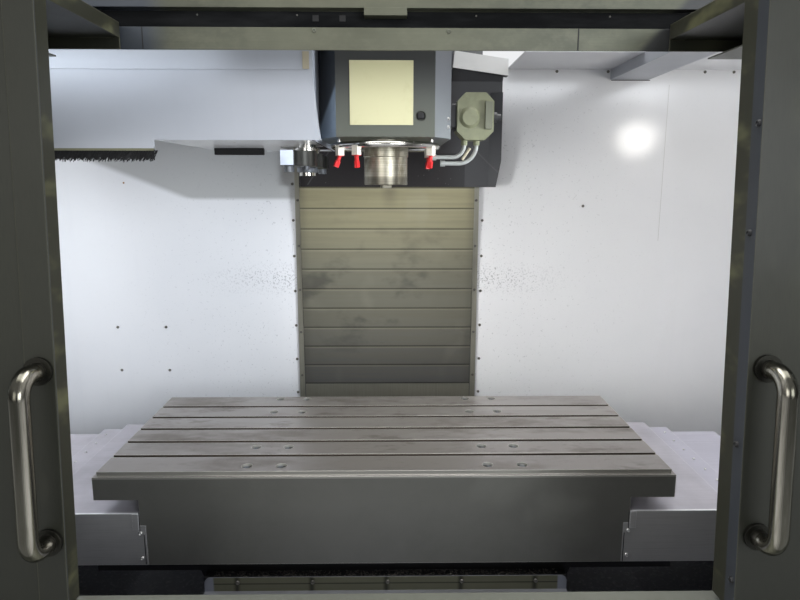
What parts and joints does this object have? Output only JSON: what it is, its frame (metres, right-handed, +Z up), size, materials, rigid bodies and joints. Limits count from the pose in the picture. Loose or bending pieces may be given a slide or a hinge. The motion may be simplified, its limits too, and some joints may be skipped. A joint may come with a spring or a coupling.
{
  "type": "vertical machining centre",
  "caption": "Vertical machining centre with T-slot table on telescoping way covers, spindle head, side tool changer, and an enclosure with two sliding doors.",
  "frame": {"origin": "floor level, under the middle of the whole machine's box", "axes": "+X to the operator's right, along the table; +Y from the operator towards the column; +Z up"},
  "size_m": [3.28, 2.41, 2.75],
  "materials": {
    "cast_grey": "painted casting, satin",
    "steel": "ground and brushed steel",
    "ground_steel": "fine ground, oiled",
    "cover_steel": "brushed sheet, dulled by coolant",
    "door_paint": "satin olive grey paint",
    "white_paint": "satin white paint",
    "dark_paint": "satin dark grey paint",
    "pan_paint": "dark grey paint, wet and gritty",
    "chrome": "polished",
    "beige_plastic": "moulded, matte",
    "white_plastic": "moulded, matte",
    "hose_plastic": "clear grey hose",
    "bristle": "black bristles",
    "red_plastic": "smooth",
    "window_glass": "clear laminated pane"
  },
  "bodies": {
    "frame": {"base": "cast_grey", "column": "cast_grey", "levelling_feet": "cast_grey", "guide_rails": "ground_steel", "servo_motors": "dark_paint", "chip_pan": "pan_paint", "front_apron": "door_paint", "front_panels": "door_paint", "side_panels": "white_paint", "rear_walls": "white_paint", "header_beam": "steel", "roof_beam": "white_paint", "way_cover_frame": "cover_steel", "tool_changer_cover": "white_paint", "brush_strip": "bristle", "tool_changer_drive": "dark_paint", "electrical_cabinet": "white_paint", "pendant_arm": "door_paint"},
    "cabinet_door": {"cabinet_door": "white_paint"},
    "pendant_case": {"pendant_case": "dark_paint"},
    "emergency_stop": {"emergency_stop": "red_plastic"},
    "door_left": {"door_left": "door_paint", "window_left": "window_glass", "handle_left": "chrome"},
    "door_right": {"door_right": "door_paint", "window_right": "window_glass", "handle_right": "chrome"},
    "saddle": {"saddle": "cast_grey", "x_covers_5": "cover_steel", "y_cover_1": "cover_steel"},
    "x_screw": {"x_screw": "ground_steel"},
    "y_screw": {"y_screw": "ground_steel"},
    "z_screw": {"z_screw": "ground_steel"},
    "table": {"table": "steel", "table_plugs": "steel", "x_covers_1": "cover_steel"},
    "x_covers_2": {"x_covers_2": "cover_steel"},
    "x_covers_3": {"x_covers_3": "cover_steel"},
    "x_covers_4": {"x_covers_4": "cover_steel"},
    "y_cover_2": {"y_cover_2": "cover_steel"},
    "head": {"head": "dark_paint", "back_apron": "dark_paint", "coolant_ring": "chrome", "coolant_valves": "white_plastic", "junction_box": "beige_plastic", "coolant_hoses": "hose_plastic", "z_leaf_1": "cover_steel"},
    "spindle": {"spindle": "chrome"},
    "carousel": {"carousel": "steel"},
    "arm_shaft": {"arm_shaft": "chrome"},
    "tool_arm": {"tool_arm": "chrome"},
    "z_leaf_2": {"z_leaf_2": "cover_steel"},
    "z_leaf_3": {"z_leaf_3": "cover_steel"},
    "z_leaf_4": {"z_leaf_4": "cover_steel"},
    "z_leaf_5": {"z_leaf_5": "cover_steel"},
    "z_leaf_6": {"z_leaf_6": "cover_steel"},
    "z_leaf_7": {"z_leaf_7": "cover_steel"},
    "z_leaf_8": {"z_leaf_8": "cover_steel"},
    "z_leaf_9": {"z_leaf_9": "cover_steel"},
    "z_leaf_10": {"z_leaf_10": "cover_steel"}
  },
  "joints": [
    {"name": "y_axis", "type": "slide", "parent": "frame", "child": "saddle", "axis": [0, 1, 0], "range_m": [-0.33, 0.33]},
    {"name": "x_axis", "type": "slide", "parent": "saddle", "child": "table", "axis": [1, 0, 0], "range_m": [-0.508, 0.508]},
    {"name": "x_cover_2", "type": "slide", "parent": "saddle", "child": "x_covers_2", "axis": [1, 0, 0], "range_m": [-0.45006, 0.45006]},
    {"name": "x_cover_3", "type": "slide", "parent": "saddle", "child": "x_covers_3", "axis": [1, 0, 0], "range_m": [-0.31696, 0.31696]},
    {"name": "x_cover_4", "type": "slide", "parent": "saddle", "child": "x_covers_4", "axis": [1, 0, 0], "range_m": [-0.1671, 0.1671]},
    {"name": "y_cover_2", "type": "slide", "parent": "frame", "child": "y_cover_2", "axis": [0, 1, 0], "range_m": [-0.167, 0.167]},
    {"name": "z_axis", "type": "slide", "parent": "frame", "child": "head", "axis": [0, 0, 1], "range_m": [-0.635, 0.1]},
    {"name": "z_leaf_2", "type": "slide", "parent": "frame", "child": "z_leaf_2", "axis": [0, 0, 1], "range_m": [-0.5735, 0.092]},
    {"name": "z_leaf_3", "type": "slide", "parent": "frame", "child": "z_leaf_3", "axis": [0, 0, 1], "range_m": [-0.51, 0.082]},
    {"name": "z_leaf_4", "type": "slide", "parent": "frame", "child": "z_leaf_4", "axis": [0, 0, 1], "range_m": [-0.4465, 0.072]},
    {"name": "z_leaf_5", "type": "slide", "parent": "frame", "child": "z_leaf_5", "axis": [0, 0, 1], "range_m": [-0.383, 0.062]},
    {"name": "z_leaf_6", "type": "slide", "parent": "frame", "child": "z_leaf_6", "axis": [0, 0, 1], "range_m": [-0.3195, 0.052]},
    {"name": "z_leaf_7", "type": "slide", "parent": "frame", "child": "z_leaf_7", "axis": [0, 0, 1], "range_m": [-0.256, 0.042]},
    {"name": "z_leaf_8", "type": "slide", "parent": "frame", "child": "z_leaf_8", "axis": [0, 0, 1], "range_m": [-0.1925, 0.032]},
    {"name": "z_leaf_9", "type": "slide", "parent": "frame", "child": "z_leaf_9", "axis": [0, 0, 1], "range_m": [-0.129, 0.022]},
    {"name": "z_leaf_10", "type": "slide", "parent": "frame", "child": "z_leaf_10", "axis": [0, 0, 1], "range_m": [-0.0655, 0.012]},
    {"name": "x_screw_spin", "type": "hinge", "parent": "saddle", "child": "x_screw", "pos_m": [0, -0.025, 0.654], "axis": [1, 0, 0], "range_deg": [-15270, 15270]},
    {"name": "y_screw_spin", "type": "hinge", "parent": "frame", "child": "y_screw", "pos_m": [0, -0.025, 0.4], "axis": [0, 1, 0], "range_deg": [-9930, 9930]},
    {"name": "z_screw_spin", "type": "hinge", "parent": "frame", "child": "z_screw", "pos_m": [0, 0.7415, 1.7], "axis": [0, 0, 1], "range_deg": [-19080, 3030]},
    {"name": "spindle_spin", "type": "hinge", "parent": "head", "child": "spindle", "pos_m": [0, -0.025, 1.7], "axis": [0, 0, 1], "continuous": true},
    {"name": "door_left_slide", "type": "slide", "parent": "frame", "child": "door_left", "axis": [1, 0, 0], "range_m": [0, 0.552]},
    {"name": "door_right_slide", "type": "slide", "parent": "frame", "child": "door_right", "axis": [1, 0, 0], "range_m": [-0.626, 0]},
    {"name": "arm_drop", "type": "slide", "parent": "frame", "child": "arm_shaft", "axis": [0, 0, 1], "range_m": [-0.14, 0]},
    {"name": "arm_swing", "type": "hinge", "parent": "arm_shaft", "child": "tool_arm", "pos_m": [-0.225, -0.025, 1.68], "axis": [0, 0, -1], "range_deg": [0, 55]},
    {"name": "carousel_spin", "type": "hinge", "parent": "frame", "child": "carousel", "pos_m": [-0.64, 0.095, 2.06], "axis": [1, 0, 0], "continuous": true},
    {"name": "cabinet_door_hinge", "type": "hinge", "parent": "frame", "child": "cabinet_door", "pos_m": [1.5, 1.115, 1.05], "axis": [0, 0, -1], "range_deg": [0, 110]},
    {"name": "pendant_swing", "type": "hinge", "parent": "frame", "child": "pendant_case", "pos_m": [1.58, -1.135, 1.745], "axis": [0, 0, 1], "range_deg": [0, 100]},
    {"name": "emergency_stop_press", "type": "slide", "parent": "pendant_case", "child": "emergency_stop", "axis": [0, 1, 0], "range_m": [0, 0.005], "stiffness_N_per_m": 900}
  ],
  "couplings": [
    {"joint": "x_cover_2", "follows": "x_axis", "ratio": 0.882},
    {"joint": "x_cover_3", "follows": "x_axis", "ratio": 0.62},
    {"joint": "x_cover_4", "follows": "x_axis", "ratio": 0.325},
    {"joint": "y_cover_2", "follows": "y_axis", "ratio": 0.5},
    {"joint": "z_leaf_2", "follows": "z_axis", "ratio": 0.9},
    {"joint": "z_leaf_3", "follows": "z_axis", "ratio": 0.8},
    {"joint": "z_leaf_4", "follows": "z_axis", "ratio": 0.7},
    {"joint": "z_leaf_5", "follows": "z_axis", "ratio": 0.6},
    {"joint": "z_leaf_6", "follows": "z_axis", "ratio": 0.5},
    {"joint": "z_leaf_7", "follows": "z_axis", "ratio": 0.4},
    {"joint": "z_leaf_8", "follows": "z_axis", "ratio": 0.3},
    {"joint": "z_leaf_9", "follows": "z_axis", "ratio": 0.2},
    {"joint": "z_leaf_10", "follows": "z_axis", "ratio": 0.1},
    {"joint": "x_screw_spin", "follows": "x_axis", "rad_per_m": 523.6},
    {"joint": "y_screw_spin", "follows": "y_axis", "rad_per_m": 523.6},
    {"joint": "z_screw_spin", "follows": "z_axis", "rad_per_m": 523.6}
  ]
}
